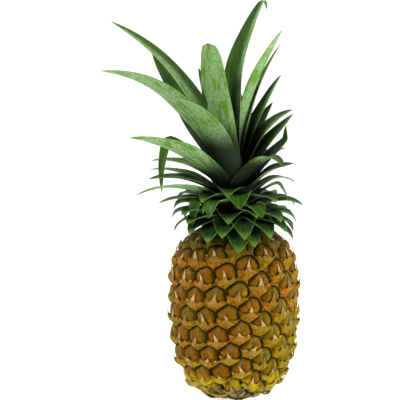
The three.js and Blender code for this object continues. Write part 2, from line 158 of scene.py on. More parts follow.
def grid_faces(rows, columns, first=0, closed=False):
    r = np.arange(rows - 1)[:, None]
    c = np.arange(columns if closed else columns - 1)[None, :]
    a = first + r * columns + c
    b = first + r * columns + (c + 1) % columns
    return np.stack([a, b, b + columns, a + columns], -1).reshape(-1, 4)


def closed_sheet_faces(rows, columns):
    # Two grids back to back, with a strip of faces along each of the four edges.
    n = rows * columns
    top, low = grid_faces(rows, columns), grid_faces(rows, columns, n)[:, ::-1]
    r, c = np.arange(rows - 1) * columns, np.arange(columns - 1)
    left = np.stack([r, r + columns, r + columns + n, r + n], -1)
    right = np.stack([r, r + n, r + columns + n, r + columns], -1) + columns - 1
    first = np.stack([c, c + n, c + 1 + n, c + 1], -1)
    last = np.stack([c, c + 1, c + 1 + n, c + n], -1) + n - columns
    return np.concatenate([top, low, left, right, first, last])


def triangles(quads):
    return np.concatenate([quads[:, [0, 1, 2]], quads[:, [0, 2, 3]]])


print("faces of a sheet of 3 by 3 points:", len(closed_sheet_faces(3, 3)))

# %% [markdown]
# Colours are written as the hex values that a screen shows. Cycles wants light, not screen
# values, so one function turns them to linear. A second small function adds a node with
# its settings and its links, and every material below is built with those two.

# %% Small tools for materials
def hex_linear(code):
    channels = [int(code[i:i + 2], 16) / 255 for i in (1, 3, 5)]
    light = [c / 12.92 if c <= 0.04045 else ((c + 0.055) / 1.055) ** 2.4 for c in channels]
    return (*light, 1.0)


def add_node(tree, kind, inputs=(), out=0, **settings):
    # Inputs come in order or by socket name. Each is a link, a number or a hex colour.
    node = tree.nodes.new("ShaderNode" + kind)
    for key, value in settings.items():
        setattr(node, key, value)
    for socket, value in inputs.items() if isinstance(inputs, dict) else enumerate(inputs):
        if isinstance(value, bpy.types.NodeSocket):
            tree.links.new(value, node.inputs[socket])
        else:
            node.inputs[socket].default_value = hex_linear(value) if isinstance(value, str) else value
    return node.outputs[out] if len(node.outputs) else None


def new_material(name):
    material = bpy.data.materials.new(name)
    material.use_nodes = True
    material.node_tree.nodes.clear()
    return material, material.node_tree


print("white in linear light:", hex_linear("#ffffff"))

# %% [markdown]
# The fruit is a barrel: a superellipse turned about its axis. These are the frame's own
# numbers. A table along the outline gives, for a length of arc, the radius, the height,
# the direction out of the skin and the area passed so far. Spinning a drawn curve would
# give the same shape, but not the way to say where on the skin a point lies.

# %% The barrel
BARREL_R, BARREL_MID_Z, BARREL_ABOVE, BARREL_BELOW, BARREL_POWER = 60.3, 95.0, 72.0, 98.0, 2.8


def barrel_table(steps=2400):
    a = -np.pi / 2 + np.pi * np.arange(steps + 1) / steps
    half = np.where(a < 0, BARREL_BELOW, BARREL_ABOVE)
    r = BARREL_R * np.abs(np.cos(a)) ** (2 / BARREL_POWER)
    r[0] = r[-1] = 0
    z = BARREL_MID_Z + np.sign(a) * half * np.abs(np.sin(a)) ** (2 / BARREL_POWER)
    ds = np.hypot(np.diff(r), np.diff(z))
    s = np.concatenate([[0], np.cumsum(ds)])
    area = np.concatenate([[0], np.cumsum(np.pi * (r[1:] + r[:-1]) * ds)])
    nr, nz = np.gradient(z, s), -np.gradient(r, s)
    size = np.hypot(nr, nz)
    return s, r, z, area, nr / size, nz / size


ARC, RADIUS, HEIGHT, AREA, OUT_R, OUT_Z = barrel_table()
ARC_LENGTH = ARC[-1]


def skin_point(s, az, lift):
    r = np.interp(s, ARC, RADIUS) + np.interp(s, ARC, OUT_R) * lift
    z = np.interp(s, ARC, HEIGHT) + np.interp(s, ARC, OUT_Z) * lift
    return np.stack([r * np.sin(az), -r * np.cos(az), z], -1)


print("outline, mm:", round(float(ARC_LENGTH), 1), "skin, cm2:", round(float(AREA[-1]) / 100))

# %% [markdown]
# A pineapple is a crowd of berries grown together. Each berry leaves one eye on the rind,
# and the eyes stand on a spiral of 137.5 degrees a step, which draws the 8 and 13 slanting
# rows that can be counted on any fruit. Placing the eyes by that rule, with an equal share
# of skin each, gives every row at once, also round the back. Points scattered at random
# would never draw those rows.

# %% The eyes
GOLDEN_ANGLE, FIRST_EYE_AZ = 137.508, 26.0
EYE_AREA = 400.0
# How far the rows of this fruit drift off the rule, in mm along the outline and degrees round.
DRIFT_UP, DRIFT_LEAN, DRIFT_FOLD, DRIFT_TWIST = 5.0, 17.0, 4.0, 9.0
LEAN_AZ, FOLD_AZ = np.radians(135), np.radians(45)
# Eyes near the crown and at the base stay small and flat.
TOP_Z, TOP_FADE, BASE_Z, BASE_FADE = 160, 22, -2, 20


def eye_centres():
    n = np.arange(int(AREA[-1] / EYE_AREA) + 1)
    az0 = np.radians(n * GOLDEN_ANGLE + FIRST_EYE_AZ)
    s0 = np.interp((n + 0.5) * EYE_AREA, AREA, ARC)
    lean = DRIFT_LEAN * np.cos(az0 + LEAN_AZ) - DRIFT_FOLD * np.cos(2 * az0 + FOLD_AZ)
    s = s0 + (DRIFT_UP + lean) * np.sin(np.pi * s0 / ARC_LENGTH)
    az = az0 + np.radians(DRIFT_TWIST) * (2 * s0 / ARC_LENGTH - 1)
    return n, az, np.clip(s, 2, ARC_LENGTH - 2)


EYE, EYE_AZ, EYE_S = eye_centres()
EYE_POINT = skin_point(EYE_S, EYE_AZ, 0)
EYE_R = np.maximum(np.interp(EYE_S, ARC, RADIUS), 6)
EYE_Z = np.interp(EYE_S, ARC, HEIGHT)
VIGOUR = smooth((TOP_Z - EYE_Z) / TOP_FADE) * smooth((EYE_Z - BASE_Z) / BASE_FADE)
print("eyes:", len(EYE))

# %% [markdown]
# Seen close, an eye has two parts. Its upper two thirds are a low dome with two lobes and a
# crease between them, set off by a deep dark groove that arches over it like an eyebrow.
# Below the dome the base of the bract bulges out, and it runs on to the left and right
# between the domes, so the whole rind is a golden net with a dome in every mesh. A point's
# place comes from its two nearest eye centres: where they are equally far is the border.
# Sculpting could give one such eye, but a rule gives them all, each with its own size.

# %% Whose eye a point lies in
def eye_of(points, s, az):
    near = np.empty((len(points), 2), int)
    gap = np.empty((len(points), 2))
    for i in range(0, len(points), 8000):
        d = np.linalg.norm(points[i:i + 8000, None] - EYE_POINT[None], axis=2)
        two = np.argpartition(d, 1, axis=1)[:, :2]
        pick = np.take_along_axis(d, two, 1)
        order = np.argsort(pick, axis=1)
        near[i:i + 8000] = np.take_along_axis(two, order, 1)
        gap[i:i + 8000] = np.take_along_axis(pick, order, 1)
    k = near[:, 0]
    apart = np.linalg.norm(EYE_POINT[k] - EYE_POINT[near[:, 1]], axis=1)
    border = (gap[:, 1] ** 2 - gap[:, 0] ** 2) / (2 * apart)
    turn = np.arctan2(np.sin(az - EYE_AZ[k]), np.cos(az - EYE_AZ[k]))
    return k, border, turn * EYE_R[k], s - EYE_S[k]


print("eyes lie about", round(EYE_AREA**0.5), "mm apart")

# %% [markdown]
# The heights of one eye, in millimetres. Along the eye, y is counted up from its centre and
# x to its right. The skirt is where the bract's fleshy foot begins, and it rises from the
# groove like a tent whose pole stands under the spine.

# %% The relief of one point of the skin
GROOVE_DEPTH, WEB_HALF, WEB_HEIGHT = 2.6, 0.5, 2.4
DOME_HALF_WIDTH, DOME_HALF_HEIGHT, DOME_MIDDLE, DOME_POWER = 11.2, 10.4, 1.2, 2.3
DOME_HEIGHT, LOBE_HEIGHT, CREASE_DEPTH = 2.9, 1.9, 0.8
LOBE_X, LOBE_Y, LOBE_WIDTH, LOBE_LENGTH, CREASE_WIDTH = 4.9, 1.4, 3.6, 6.4, 1.3
DOME_RISE, WEB_RISE, DOME_SOFTNESS = 1.7, 0.5, 2.2
SKIRT_Y, TENT_Y, TENT_EAVES, TENT_POLE = -4.4, -4.6, 0.9, 2.6
FAN_RADIUS, UNDER_CROWN_Z, UNDER_CROWN_FADE = 9.0, 168, 16
# The smallest eye's share of the full height of a relief, of a spine, and of a ragged edge.
LEAST_RELIEF, LEAST_SPINE, LEAST_EDGE = 0.45, 0.2, 0.3


def grown(vigour, least):
    return least + (1 - least) * vigour


def soft_min(a, b, radius):
    h = np.clip(0.5 + 0.5 * (b - a) / radius, 0, 1)
    return b * (1 - h) + a * h - radius * h * (1 - h)


def inside_dome(x, y, border):
    wide, tall = np.abs(x / DOME_HALF_WIDTH), np.abs((y - DOME_MIDDLE) / DOME_HALF_HEIGHT)
    oval = (wide**DOME_POWER + tall**DOME_POWER) ** (1 / DOME_POWER)
    return soft_min((1 - oval) * 10, border - WEB_HALF, DOME_SOFTNESS)


def skirt_top(x, k):
    own, tilt = draw(k, 15) - 0.5, draw(k, 16) - 0.5
    return SKIRT_Y + 2.4 * own + 0.2 * tilt * x + 1.6 * (np.abs(x) / 9.5) ** 1.8


def fan(x, y, k):
    # Millimetres across the bract's fibres, which spread from the root of the spine.
    return FAN_RADIUS * np.arctan2(x, np.maximum(skirt_top(x, k) + 2.0 - y, 0.6))


def tent(x, y):
    return TENT_EAVES + TENT_POLE * bell(x, 5.5, 1.4) * bell(y - TENT_Y, 5.0, 1.6)


def relief(points, s, az):
    k, border, x, y = eye_of(points, s, az)
    # Nothing grows exactly, so the outline of each eye wanders by up to a millimetre.
    x, y = x + 0.8 * clouds(points, 6.0, 21), y + 0.8 * clouds(points, 6.0, 22)
    border = border + 0.35 * clouds(points, 3.5, 23)
    inset = inside_dome(x, y, border)
    rise_in = 1 - np.exp(-np.maximum(inset, 0) / DOME_RISE)
    rise_out = 1 - np.exp(-np.maximum(-inset, 0) / WEB_RISE)
    lobes = bell(np.abs(x) - LOBE_X, LOBE_WIDTH) * bell(y - LOBE_Y, LOBE_LENGTH)
    crease = bell(x, CREASE_WIDTH) * smooth((y + 3) / 3)
    dome = (DOME_HEIGHT + LOBE_HEIGHT * lobes - CREASE_DEPTH * crease) * rise_in
    skirt = smooth(skirt_top(x, k) - y + 0.5)
    edge = tent(x, y) * (0.35 + 0.65 * smooth(border / 2.5)) - 0.8 * smooth(1 - border / 1.2)
    lift = np.where(inset > 0, dome, WEB_HEIGHT * rise_out) * (1 - skirt) + (GROOVE_DEPTH + edge) * skirt
    lift += 0.35 * clouds(points, 2.6, 24) + 0.25 * clouds(points, 1.5, 25)
    lift = (lift - GROOVE_DEPTH) * grown(VIGOUR[k], LEAST_RELIEF)
    # The relief dies away under the crown, where the leaves press on it.
    lift *= 0.4 + 0.6 * smooth((UNDER_CROWN_Z - np.interp(s, ARC, HEIGHT)) / UNDER_CROWN_FADE)
    return k, inset, border, x, y, skirt, lift


print("spine roots stand", round(float(tent(0.0, TENT_Y)), 1), "mm over the net")

# %% [markdown]
# The rind is a sheet of points three quarters of a millimetre apart, from the edge of the
# stalk up to the foot of the crown, each moved in or out by its relief. A displacement map
# would need the same points and would hide the rule in an image. The sheet is made as a
# lower and an upper piece to keep each one light. Both take their shading normals from the
# whole sheet, so no line shows where they meet. Below the level of the base the sheet is
# pressed flat, because the fruit stands there.

# %% The rind
RIND_ROWS, RIND_COLUMNS = 372, 512
STALK_HOLE_R, CROWN_HOLE_R = 14.9, 19.2


def build_rind():
    middle = len(ARC) // 2
    s_low = np.interp(STALK_HOLE_R, RADIUS[:middle], ARC[:middle])
    s_high = ARC[::-1][np.searchsorted(RADIUS[::-1], CROWN_HOLE_R)]
    s = np.linspace(s_low, s_high, RIND_ROWS)
    az = np.linspace(-np.pi, np.pi, RIND_COLUMNS, endpoint=False)
    s, az = (a.ravel() for a in np.meshgrid(s, az, indexing="ij"))
    k, inset, border, x, y, skirt, lift = relief(skin_point(s, az, 0), s, az)
    points = skin_point(s, az, lift)
    points[:, 2] = np.maximum(points[:, 2], 0)
    values = dict(inset=inset, border=border, across=x, up=y, skirt=skirt, below=skirt_top(x, k) - y,
                  fan=fan(x, y, k), eye_draw=draw(k, 1), eye_draw2=draw(k, 2))
    return points, values


def sheet_normals(points, rows, columns):
    grid = points.reshape(rows, columns, 3)
    along = np.gradient(grid, axis=0)
    around = np.roll(grid, -1, 1) - np.roll(grid, 1, 1)
    normal = np.cross(around, along).reshape(-1, 3)
    return normal / np.maximum(np.linalg.norm(normal, axis=1, keepdims=True), 1e-9)


rind_points, rind_values = build_rind()
rind_normals = sheet_normals(rind_points, RIND_ROWS, RIND_COLUMNS)
print("rind up to", round(float(rind_points[:, 2].max()), 1), "mm")

# %% [markdown]
# Under each eye sits its bract, a small leaf that dried as the fruit grew. It is one thin
# sheet: a broad foot across the whole eye, concave shoulders that end in two dry points at
# the sides, and in the middle a peak drawn out into a stiff spine that lies over the
# crease of the dome. Its upper rim stands a millimetre off the dome and throws the thin
# dark shadow that makes the eye look half closed. Hair particles can't give that width.

# %% The bracts
BRACT_COLUMNS, BRACT_ROWS = 21, 10
BRACT_HALF_WIDTH, BRACT_FOOT, SIDE_POINT_X = 9.3, -11.4, 7.2
SPINE_WIDTH, SPINE_LEAST, SPINE_DRAW, SPINE_ROOT = 1.3, 1.5, 6.0, -3.4
STAND_LEAST, STAND_DRAW, SPINE_BEND, FOOT_SUNK = 0.5, 4.2, 9.0, 1.6
RIB_HEIGHT, RIB_COUNT, RAG = 0.3, 13.5, 2.2
# No bract stands further off the barrel than the frame's own spines.
BRACT_REACH = 5.2


def bract_outline(k, vigour):
    side = np.linspace(-1, 1, BRACT_COLUMNS)
    x = BRACT_HALF_WIDTH * np.sign(side) * np.abs(side) ** 1.9 + 0 * vigour
    higher_up = 2.5 * smooth((EYE_Z[k] - 50) / 70)
    tip = (SPINE_LEAST + higher_up + SPINE_DRAW * draw(k, 4)) * grown(vigour, LEAST_SPINE)
    ragged = (draw(k * 31 + np.arange(BRACT_COLUMNS), 7) - 0.5) * RAG * (np.abs(x) > SPINE_WIDTH)
    side_points = 2.0 * bell(np.abs(x) - SIDE_POINT_X, 1.1) * draw(k * 2 + (x > 0), 8)
    peak = (tip - SKIRT_Y) * bell(x, SPINE_WIDTH, 1.1)
    top = skirt_top(x, k) + peak + (ragged + side_points) * grown(vigour, LEAST_EDGE)
    return x, BRACT_FOOT + 0.62 * np.abs(x), top, tip


def build_bracts():
    k = EYE[VIGOUR > 0.02][:, None]
    outline = bract_outline(k, VIGOUR[k])
    k, (x, foot, top, tip) = k[..., None], (a[..., None] for a in outline)
    vigour = VIGOUR[k]
    y = foot + (top - foot) * np.linspace(0, 1, BRACT_ROWS) ** 0.85
    x = x + 0 * y
    # Free is 0 on the fleshy foot and 1 at the point of the spine, which stands off and leans.
    free = np.clip((y - SPINE_ROOT) / (tip - SPINE_ROOT), 0, 1)
    stand = (STAND_LEAST + STAND_DRAW * draw(k, 6) ** 1.5) * grown(vigour, LEAST_EDGE)
    ribs = RIB_HEIGHT * np.cos(RIB_COUNT * np.arctan2(x, 12 + y)) * (1 - free)
    sunk = FOOT_SUNK * (1 - np.clip((y - foot) / 2.0, 0, 1))
    lift = (tent(x, y) + 0.7 + ribs - sunk) * grown(vigour, LEAST_RELIEF) + stand * free**1.3
    lift = lift + 0.5 * (draw(np.round(x * 7) + 13 * k, 3) - 0.5) * (1 - free)
    lift = np.minimum(lift, BRACT_REACH)
    bend = (draw(k, 5) - 0.5) * SPINE_BEND * free**1.6
    s, az = EYE_S[k] + y, EYE_AZ[k] + (x + bend) / EYE_R[k]
    thick = np.clip(0.5 - 0.02 * np.abs(x), 0.25, 0.6)
    count, block = len(k), BRACT_COLUMNS * BRACT_ROWS
    sides = [skin_point(s, az, lift + sign * thick / 2).reshape(count, block, 3) for sign in (1, -1)]
    points = np.stack(sides, 1).reshape(-1, 3)
    points[:, 2] = np.maximum(points[:, 2], 0.2)
    one = closed_sheet_faces(BRACT_COLUMNS, BRACT_ROWS)
    faces = (one[None] + (np.arange(count) * 2 * block)[:, None, None]).reshape(-1, 4)
    values = dict(across=x, up=y, free=free, below=skirt_top(x, k) - y, fan=fan(x, y, k),
                  eye_draw=draw(k, 1), eye_draw2=draw(k, 2))
    for key, data in values.items():
        data = np.broadcast_to(data, y.shape).reshape(count, 1, block)
        values[key] = np.broadcast_to(data, (count, 2, block)).ravel()
    return points, faces, values


bract_points, bract_faces, bract_values = build_bracts()
print("bracts:", len(bract_points) // (2 * BRACT_COLUMNS * BRACT_ROWS))

# %% [markdown]
# A pineapple leaf leaves the stem steeply, leans out and then arches, all in one plane, and
# is curled across like a gutter. The frame describes each leaf by its direction round the
# stem, the height of its foot, its length and width, and how far it leans at the foot, the
# middle and the tip. Some are rolled to one side, one ends blunt, and a tired leaf has a
# fold: where, by how many degrees, and over what share of its length. The same table is
# used here, so the finer leaves lie where the frame's leaves lie. Curves with a bevel would
# bend as well, but their section couldn't change from a gutter to a flat tip.

# %% The leaf table
def blade(az, foot, length, width, lean, **more):
    return dict(az=az, foot=foot, length=length, width=width, lean=lean, **more)


TALL_LEAVES = [
    blade(-44, 204, 140, 42, [26, 16, 10, 6, 14], blunt=0.3),
    blade(122, 212, 186, 40, [-12, 8, 40], fold=[0.95, 125, 0.03], pale=-0.35),
    blade(-78, 206, 196, 29, [12, 35, 62], roll=25, dark=0.35),
    blade(-60.95, 206.4, 181, 34, [22, 48, 86], roll=20),
    blade(-42, 199, 126, 39, [17, 34, 78]),
    blade(-119.4, 204.8, 150, 40, [36, 34, 34], roll=-10),
    blade(-152, 206, 128, 24, [28, 30, 40]),
    blade(175, 212, 95, 30, [8, 20, 50]),
    blade(78, 210, 149, 30, [0, 14, 34], roll=-20),
    blade(100, 208, 138, 22, [2, 15, 34]),
    blade(92, 206, 112, 24, [2, 21, 34], roll=25, pale=-0.1),
    blade(120, 204, 88, 26, [6, 26, 40], roll=10),
    blade(80, 200, 96, 28, [8, 27, 70], roll=30, pale=-0.4),
    blade(92, 198, 90, 26, [16, 34, 46], roll=25, pale=-0.2),
    blade(105, 194, 82, 24, [28, 42, 46], roll=15, fold=[0.84, -45, 0.06]),
]
SIDE_LEAVES = [
    blade(62, 187, 70, 26, [24, 50, 86], roll=20),
    blade(51.05, 192.4, 74, 36, [14, 34, 66, 150]),
    blade(112, 187, 64, 20, [44, 64, 130]),
    blade(76, 184, 58, 18, [40, 60, 100], fold=[0.7, 60, 0.1]),
    blade(84, 176, 60, 26, [50, 76, 122], roll=10),
    blade(105, 173, 50, 22, [62, 84, 112]),
    blade(70, 170, 50, 24, [66, 88, 124]),
    blade(-60, 196, 123, 36, [37, 60, 86], roll=20),
    blade(-76, 200, 124, 25, [40, 54, 76], roll=-18, fold=[0.6, 106, 0.1]),
    blade(-82, 196, 84, 22, [36, 64, 100], roll=20),
    blade(-74, 190, 82, 26, [48, 72, 102], roll=-10),
    blade(-66, 182, 97, 28, [48, 78, 112], roll=10),
    blade(-74, 180, 68, 24, [56, 80, 112]),
    blade(-50, 178, 62, 24, [56, 76, 96], fold=[0.62, 76, 0.1]),
    blade(-26, 181, 58, 28, [50, 80, 130], fold=[0.75, 40, 0.1]),
    blade(4, 186, 50, 34, [34, 84, 150]),
    blade(24, 178, 54, 32, [56, 80, 140]),
    blade(163, 200, 100, 32, [22, 44, 74]),
    blade(-172, 196, 105, 30, [30, 52, 84]),
    blade(138, 192, 86, 28, [36, 56, 90]),
    blade(-142, 190, 92, 30, [36, 58, 92]),
    blade(-108, 186, 86, 28, [44, 66, 100]),
]


# %% [markdown]
# The collar leaves are short and broad. Each rises from the stem with its back outward and
# then bends over near its end, so it is easier to say where its tip hangs: the angle round
# the stem, the distance and height of the tip, the width, and how far the tip hangs below
# the bend. The front ones are set one by one. The sides and the back follow in even rows.

# %% The collar
FRONT_COLLAR = [
    (-10, 42, 197, 30, 9), (-36, 53, 193, 30, 7), (45, 53, 192, 30, 7), (-8, 49, 173, 32, 10),
    (22, 52, 179, 30, 8), (46, 59, 174, 32, 9), (-39, 48, 181, 20, 15), (-53, 62, 180, 28, 6),
    (9, 54, 159, 34, 11), (-48, 60, 172, 28, 6), (34, 58, 160, 32, 9), (52, 60, 164, 28, 7),
    (-13, 56, 161, 30, 8), (-28, 56, 156, 32, 7), (3, 58, 148, 34, 8), (18, 57, 153, 28, 7),
    (-46, 60, 163, 28, 6),
]
# The rows of the sides and the back: heights of the tips, first place, and steps round.
BACK_TIPS_Z, BACK_FIRST_AZ, BACK_STEP_AZ, BACK_ROW_AZ = (157, 170, 184), 72, 38, 12.7
BACK_STEPS, BACK_TIP_R, BACK_WIDTH, BACK_HANG = 6, 60, 28, 10


def hanging_leaf(az, tip_r, tip_z, width, hang):
    foot = max(tip_z - 3, 169 + 0.12 * (tip_z - 148))
    return dict(az=az, foot=foot, tip=(tip_r, tip_z), width=width, hang=hang)


def collar_leaves():
    leaves = [hanging_leaf(*numbers) for numbers in FRONT_COLLAR]
    for i in range(BACK_STEPS * len(BACK_TIPS_Z)):
        step, row = divmod(i, len(BACK_TIPS_Z))
        a, b, c = (float(draw(i, n)) - 0.5 for n in (1, 2, 3))
        az = BACK_FIRST_AZ + BACK_STEP_AZ * step + BACK_ROW_AZ * row + 6 * a
        tip_r, tip_z = BACK_TIP_R + 5 * c, BACK_TIPS_Z[row] + 6 * b
        leaves.append(hanging_leaf(az, tip_r, tip_z, BACK_WIDTH + 4 * b, BACK_HANG + 6 * a))
    return leaves


COLLAR_LEAVES = collar_leaves()
print("leaves:", len(TALL_LEAVES), "tall,", len(SIDE_LEAVES), "side,", len(COLLAR_LEAVES), "collar")

# %% [markdown]
# The blade is thin, a little thicker along the middle, and closed all round, so that both
# faces can have their own colour: dark and glossy above, grey-green and waxy below. A flat
# strip with a solidify modifier would be as thin, but couldn't thin out towards its margins.

# %% The course of a leaf
STEM_R, STEM_TOP, STEM_TAPER = 20.0, 240.0, 70.0
SHOULDER_R, SHOULDER_ABOVE = 65.2, 75.4
ROOT_DEPTH = 0.6


def stem_radius(z):
    return STEM_R * np.clip((STEM_TOP - z) / STEM_TAPER, 0.05, 1) ** 0.8


def clear_of_shoulder(p):
    # A leaf that would sink into the fruit's shoulder is moved out to lie on it.
    h = np.maximum(p[..., 2] - BARREL_MID_Z, 0)
    r = np.hypot(p[..., 0], p[..., 1])
    f = ((r / SHOULDER_R) ** BARREL_POWER + (h / SHOULDER_ABOVE) ** BARREL_POWER) ** (1 / BARREL_POWER)
    f = np.where(f < 1, np.maximum(f, 0.2), 1)
    return np.stack([p[..., 0] / f, p[..., 1] / f, np.where(f < 1, BARREL_MID_Z + h / f, p[..., 2])], -1)


def leaf_arch(leaf, count):
    # Along the leaf: the share of its length, the lean off the vertical, and its length in mm.
    t = np.linspace(0, 1, count)
    if "tip" in leaf:
        start = np.array([stem_radius(leaf["foot"]) * ROOT_DEPTH, leaf["foot"]])
        tip = np.array(leaf["tip"], float)
        first = start + [0.45 * (tip[0] - start[0]), 0.8 * leaf["hang"]]
        second = tip + [-2.5, 1.5 * leaf["hang"]]
        m, tt = 1 - t[:, None], t[:, None]
        slope = 3 * (m**2 * (first - start) + 2 * m * tt * (second - first) + tt**2 * (tip - second))
        return t, np.arctan2(slope[:, 0], slope[:, 1]), np.hypot(slope[:, 0], slope[:, 1])
    lean = spline(leaf["lean"], t)
    if "fold" in leaf:
        at, turn, spread = leaf["fold"]
        lean = lean + turn * smooth((t - at) / spread + 0.5)
    return t, np.radians(lean), np.full(count, float(leaf["length"]))


def leaf_length(leaf):
    return float(np.mean(leaf_arch(leaf, 65)[2]))


def leaf_frames(leaf, count):
    t, lean, pace = leaf_arch(leaf, count)
    az, lean = math.radians(leaf["az"]), lean[:, None]
    out = np.array([math.sin(az), -math.cos(az), 0])
    side = np.array([math.cos(az), math.sin(az), 0])
    up = np.array([0, 0, 1.0])
    along = np.sin(lean) * out + np.cos(lean) * up
    face = -np.cos(lean) * out + np.sin(lean) * up
    start = out * stem_radius(leaf["foot"]) * ROOT_DEPTH + up * leaf["foot"]
    moves = along * pace[:, None]
    steps = (moves[1:] + moves[:-1]) / 2 / (count - 1)
    middle = clear_of_shoulder(start + np.concatenate([[np.zeros(3)], np.cumsum(steps, 0)]))
    roll = np.radians(leaf.get("roll", 0)) * smooth(t / 0.5)[:, None]
    return t, middle, side * np.cos(roll) + face * np.sin(roll), face * np.cos(roll) - side * np.sin(roll)


print("longest leaf, mm:", round(max(leaf_length(leaf) for leaf in TALL_LEAVES)))

# %% [markdown]
# Across, the blade is an arc: tightly rolled where it clasps the stem, flatter towards its
# tip. Its back is waxy and its upper face isn't, but on some leaves one half of a face is
# rubbed bare or waxed over. In the table they have a word for it, dark or pale, which says
# how far across the blade the change lies. Little light gets down between the feet of the
# leaves, so each point also knows how deep in the crown it lies, for the painted shade there.

# %% The breadth and the bloom of a leaf
CUP_ALONG, CUP_AT_FOOT = 38, 75
LIGHT_R, LIGHT_Z, LIGHT_FADE_R, LIGHT_FADE_Z = 46, 292, 26, 58


def leaf_half(leaf, t):
    if "tip" in leaf:
        taper = np.maximum(1 - t**2.4, 0) * (0.85 + 0.15 * np.minimum(1, t / 0.2))
    else:
        taper = np.maximum(1 - t**2.2, 0) ** leaf.get("blunt", 0.8) * (0.62 + 0.38 * np.minimum(1, t / 0.18))
    return np.maximum(leaf["width"] / 2 * taper, 0.35)


def leaf_cup(t):
    return np.radians((CUP_ALONG + (CUP_AT_FOOT - CUP_ALONG) * (1 - smooth(t / 0.2))) * (1 - 0.7 * t * t))


def waxy(leaf, u, above):
    bloom = 1.0 - above + 0 * u
    if "dark" in leaf:
        bloom = bloom * (1 - 0.9 * smooth((u - leaf["dark"]) / 0.35 + 0.5))
    if "pale" in leaf:
        bloom = np.maximum(bloom, 0.95 * smooth((leaf["pale"] - u) / 0.25 + 0.5))
    return bloom


# How deep in the crown a point lies, which sets its painted shade.
def crown_shade_depth(points):
    r, z = np.hypot(points[:, 0], points[:, 1]), points[:, 2]
    return smooth((LIGHT_R - r) / LIGHT_FADE_R) * smooth((LIGHT_Z - z) / LIGHT_FADE_Z)


print("half width of the blunt leaf, mm:", round(float(leaf_half(TALL_LEAVES[0], np.array([0.5]))[0]), 1))

# %% [markdown]
# Small forward teeth stand along both margins, one every five millimetres, as a saw's do.
# On a real leaf each is a hooked prickle less than a millimetre long. A pyramid on the very
# edge gives the same rough line against the light.

# %% The teeth of a leaf
TOOTH_SPACING, TOOTHED_SHARE, TOOTH_HALF_FOOT, TOOTH_HALF_THICK = 4.6, 0.86, 0.9, 0.25
# A leaf shorter than this has smaller teeth.
FULL_TEETH_LENGTH = 75
STEPS_A_TOOTH = 8


def leaf_teeth(leaf, number, first):
    length = leaf_length(leaf)
    share = min(1.0, FULL_TEETH_LENGTH / length)
    count = max(int(length * TOOTHED_SHARE / TOOTH_SPACING), 4)
    last = STEPS_A_TOOTH * count
    t, middle, across, normal = leaf_frames(leaf, last + 1)
    places = np.arange(count) + 0.5 + 0.5 * (draw(np.arange(count) + 40 * number, 13) - 0.5)
    picked = np.clip((places * STEPS_A_TOOTH * 0.9 + 0.06 * last).astype(int), 1, last - 2)
    half, cup = leaf_half(leaf, t)[:, None], leaf_cup(t)[:, None]
    points, faces, ts, us = [], [], [], []
    for sign in (-1, 1):
        edge = middle + across * sign * half * np.sin(cup) / cup + normal * half * (1 - np.cos(cup)) / cup
        outward = across * sign * np.cos(cup) + normal * np.sin(cup)
        for i in picked:
            ahead = edge[i + 1] - edge[i - 1]
            ahead = ahead / np.linalg.norm(ahead)
            size = (0.5 + 0.5 * float(draw(i + 50 * number, 14))) * share * (1 - 0.6 * t[i])
            base = edge[i] - outward[i] * 0.35
            foot, thick = ahead * TOOTH_HALF_FOOT, normal[i] * TOOTH_HALF_THICK
            top = edge[i] + outward[i] * size * 0.85 + ahead * size * 1.1
            n = first + len(points)
            points += [base - foot, base + foot, base + thick, base - thick, top]
            faces += [[n, n + 2, n + 4], [n + 2, n + 1, n + 4], [n + 1, n + 3, n + 4], [n + 3, n, n + 4]]
            ts += [t[i]] * 5
            us += [sign * 0.97] * 4 + [sign * 1.0]
    ts, us = np.array(ts), np.array(us)
    grain = np.stack([us * 10 + 60 * number, ts * length], -1)
    return np.array(points), np.array(faces), dict(t=ts, u=us, bloom=np.full(len(ts), 0.5)), grain


# %% [markdown]
# Now blade and teeth are put together, and then the leaves of one piece. The grain is laid
# out in millimetres, across and along the blade, so the fine lines of all leaves are alike.

# %% Whole leaves
STATIONS, ACROSS = 56, 11
HALF_THICK_MIDDLE, HALF_THICK_MARGIN, RIPPLE = 0.8, 0.3, 0.05


def build_leaf(leaf, number):
    t, middle, across, normal = leaf_frames(leaf, STATIONS)
    u = np.linspace(-1, 1, ACROSS)
    half, cup, along = leaf_half(leaf, t)[:, None], leaf_cup(t)[:, None], t[:, None]
    ripples, start = 9 + 7 * draw(number, 8), 6 * draw(number, 9)
    wave = RIPPLE * half * u**2 * np.sin(ripples * along + 3 * u + start)
    x = half * np.sin(u * cup) / cup
    rise = half * (1 - np.cos(u * cup)) / cup + wave * smooth(along / 0.2)
    thick = HALF_THICK_MIDDLE * (1 - 0.4 * along) * (1 - u**2) + HALF_THICK_MARGIN * u**2
    thick = thick * np.clip(half / 2, 0.3, 1)
    sheets = []
    for height in (rise + thick, rise - thick):
        sheet = middle[:, None] + across[:, None] * x[..., None] + normal[:, None] * height[..., None]
        sheets.append(sheet.reshape(-1, 3))
    tt, uu = (a.ravel() for a in np.meshgrid(t, u, indexing="ij"))
    bloom = np.concatenate([waxy(leaf, uu, above) for above in (1, 0)])
    values = dict(t=np.tile(tt, 2), u=np.tile(uu, 2), bloom=bloom)
    grain = np.stack([uu * np.repeat(half.ravel(), ACROSS) + 60 * number, tt * leaf_length(leaf)], -1)
    teeth, teeth_faces, teeth_values, teeth_grain = leaf_teeth(leaf, number, 2 * len(tt))
    points = np.concatenate([*sheets, teeth])
    faces = np.concatenate([triangles(closed_sheet_faces(STATIONS, ACROSS)), teeth_faces])
    values = {key: np.concatenate([values[key], teeth_values[key]]) for key in values}
    values["leaf_draw"] = np.full(len(points), draw(number, 11))
    values["low"] = np.full(len(points), float("tip" in leaf))
    values["deep"] = crown_shade_depth(points)
    return points, faces, values, np.concatenate([grain, grain, teeth_grain])


